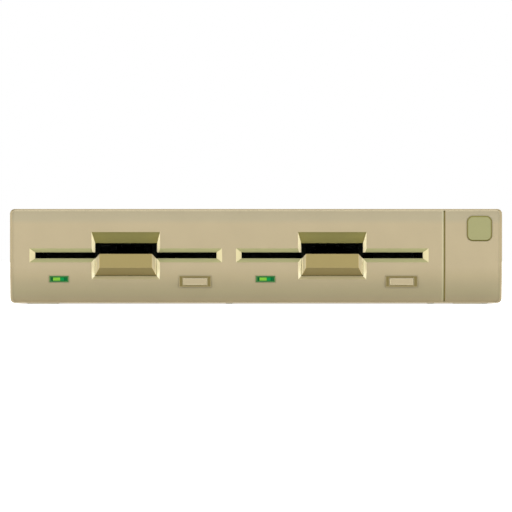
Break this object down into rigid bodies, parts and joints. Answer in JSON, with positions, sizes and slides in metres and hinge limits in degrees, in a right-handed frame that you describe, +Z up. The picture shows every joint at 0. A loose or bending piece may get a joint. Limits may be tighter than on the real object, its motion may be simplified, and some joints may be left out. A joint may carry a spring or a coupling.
{
  "type": "floppy disk drive",
  "caption": "Low beige desktop case holding a pair of five and a quarter inch floppy disk drives, each with a flip-up latch handle, slot, lamp and push button.",
  "frame": {"origin": "on the table under the middle of the bounding box, at the undersides of the feet", "axes": "+X to the right as seen from the front, the front faces -Y, +Z up"},
  "size_m": [0.38, 0.273, 0.0738],
  "materials": {
    "case_plastic": "fine textured moulding",
    "panel_plastic": "fine textured moulding",
    "tan_plastic": "satin moulding",
    "green_lens": "clear green lens",
    "dark_plastic": "satin moulding",
    "badge_metal": "brushed and lacquered",
    "foot_rubber": "matt",
    "cast_alloy": "as cast",
    "steel": "ground",
    "zinc_steel": "zinc plated",
    "board": "solder mask",
    "chip": "moulded",
    "copper": "enamelled wire",
    "pale_plastic": "satin moulding"
  },
  "bodies": {
    "unit": {"top_cover": "case_plastic", "base_pan": "case_plastic", "feet": "foot_rubber", "front_bezel": "panel_plastic", "end_panel": "panel_plastic", "badge": "badge_metal", "interface_board": "board", "interface_chips": "chip", "connector_shell": "zinc_steel", "connector_insert": "dark_plastic", "jack_posts": "zinc_steel", "left_activity_lamp": "green_lens", "left_button_frame": "tan_plastic", "left_button_switch": "dark_plastic", "left_frame": "cast_alloy", "left_disk_guides": "dark_plastic", "left_spindle_bearing": "steel", "left_motor_board": "board", "left_motor_coils": "copper", "left_guide_rods": "steel", "left_stepper_motor": "zinc_steel", "left_logic_board": "board", "left_logic_chips": "chip", "right_activity_lamp": "green_lens", "right_button_frame": "tan_plastic", "right_button_switch": "dark_plastic", "right_frame": "cast_alloy", "right_disk_guides": "dark_plastic", "right_spindle_bearing": "steel", "right_motor_board": "board", "right_motor_coils": "copper", "right_guide_rods": "steel", "right_stepper_motor": "zinc_steel", "right_logic_board": "board", "right_logic_chips": "chip"},
    "left_latch": {"left_latch_handle": "tan_plastic", "left_latch_bracket": "dark_plastic", "left_latch_shaft": "steel"},
    "left_clamp": {"left_clamp_arm": "zinc_steel"},
    "left_clamp_rotor": {"left_clamp_hub": "pale_plastic"},
    "left_spindle_body": {"left_spindle": "steel"},
    "left_carriage": {"left_head_carriage": "pale_plastic"},
    "left_upper_head": {"left_head_arm": "pale_plastic"},
    "left_screw": {"left_lead_screw": "steel"},
    "left_button": {"left_push_button": "panel_plastic"},
    "right_latch": {"right_latch_handle": "tan_plastic", "right_latch_bracket": "dark_plastic", "right_latch_shaft": "steel"},
    "right_clamp": {"right_clamp_arm": "zinc_steel"},
    "right_clamp_rotor": {"right_clamp_hub": "pale_plastic"},
    "right_spindle_body": {"right_spindle": "steel"},
    "right_carriage": {"right_head_carriage": "pale_plastic"},
    "right_upper_head": {"right_head_arm": "pale_plastic"},
    "right_screw": {"right_lead_screw": "steel"},
    "right_button": {"right_push_button": "panel_plastic"}
  },
  "joints": [
    {"name": "left_latch_flip", "type": "hinge", "parent": "unit", "child": "left_latch", "pos_m": [-0.1006, -0.116, 0.052], "axis": [-1, 0, 0], "range_deg": [0, 60]},
    {"name": "left_clamp_lift", "type": "hinge", "parent": "unit", "child": "left_clamp", "pos_m": [-0.1006, -0.099, 0.0472], "axis": [1, 0, 0], "range_deg": [0, 4.8]},
    {"name": "left_clamp_hub_spin", "type": "hinge", "parent": "left_clamp", "child": "left_clamp_rotor", "pos_m": [-0.1006, -0.051, 0.045], "axis": [0, 0, 1], "continuous": true},
    {"name": "left_spindle_spin", "type": "hinge", "parent": "unit", "child": "left_spindle_body", "pos_m": [-0.1006, -0.051, 0.03], "axis": [0, 0, 1], "continuous": true},
    {"name": "left_carriage_step", "type": "slide", "parent": "unit", "child": "left_carriage", "axis": [0, -1, 0], "range_m": [0, 0.018]},
    {"name": "left_head_lift", "type": "hinge", "parent": "left_carriage", "child": "left_upper_head", "pos_m": [-0.1006, 0.03815, 0.0426], "axis": [-1, 0, 0], "range_deg": [0, 5]},
    {"name": "left_screw_turn", "type": "hinge", "parent": "unit", "child": "left_screw", "pos_m": [-0.0716, 0.01, 0.032], "axis": [0, 1, 0], "range_deg": [0, 511]},
    {"name": "left_button_press", "type": "slide", "parent": "unit", "child": "left_button", "axis": [0, 1, 0], "range_m": [0, 0.0015], "stiffness_N_per_m": 400},
    {"name": "right_latch_flip", "type": "hinge", "parent": "unit", "child": "right_latch", "pos_m": [0.05891, -0.116, 0.052], "axis": [-1, 0, 0], "range_deg": [0, 60]},
    {"name": "right_clamp_lift", "type": "hinge", "parent": "unit", "child": "right_clamp", "pos_m": [0.05891, -0.099, 0.0472], "axis": [1, 0, 0], "range_deg": [0, 4.8]},
    {"name": "right_clamp_hub_spin", "type": "hinge", "parent": "right_clamp", "child": "right_clamp_rotor", "pos_m": [0.05891, -0.051, 0.045], "axis": [0, 0, 1], "continuous": true},
    {"name": "right_spindle_spin", "type": "hinge", "parent": "unit", "child": "right_spindle_body", "pos_m": [0.05891, -0.051, 0.03], "axis": [0, 0, 1], "continuous": true},
    {"name": "right_carriage_step", "type": "slide", "parent": "unit", "child": "right_carriage", "axis": [0, -1, 0], "range_m": [0, 0.018]},
    {"name": "right_head_lift", "type": "hinge", "parent": "right_carriage", "child": "right_upper_head", "pos_m": [0.05891, 0.03815, 0.0426], "axis": [-1, 0, 0], "range_deg": [0, 5]},
    {"name": "right_screw_turn", "type": "hinge", "parent": "unit", "child": "right_screw", "pos_m": [0.08791, 0.01, 0.032], "axis": [0, 1, 0], "range_deg": [0, 511]},
    {"name": "right_button_press", "type": "slide", "parent": "unit", "child": "right_button", "axis": [0, 1, 0], "range_m": [0, 0.0015], "stiffness_N_per_m": 400}
  ],
  "couplings": [
    {"joint": "left_clamp_lift", "follows": "left_latch_flip", "ratio": 0.08},
    {"joint": "left_head_lift", "follows": "left_latch_flip", "ratio": 0.083},
    {"joint": "left_clamp_hub_spin", "follows": "left_spindle_spin", "ratio": 1},
    {"joint": "left_screw_turn", "follows": "left_carriage_step", "rad_per_m": 494.7},
    {"joint": "right_clamp_lift", "follows": "right_latch_flip", "ratio": 0.08},
    {"joint": "right_head_lift", "follows": "right_latch_flip", "ratio": 0.083},
    {"joint": "right_clamp_hub_spin", "follows": "right_spindle_spin", "ratio": 1},
    {"joint": "right_screw_turn", "follows": "right_carriage_step", "rad_per_m": 494.7}
  ]
}
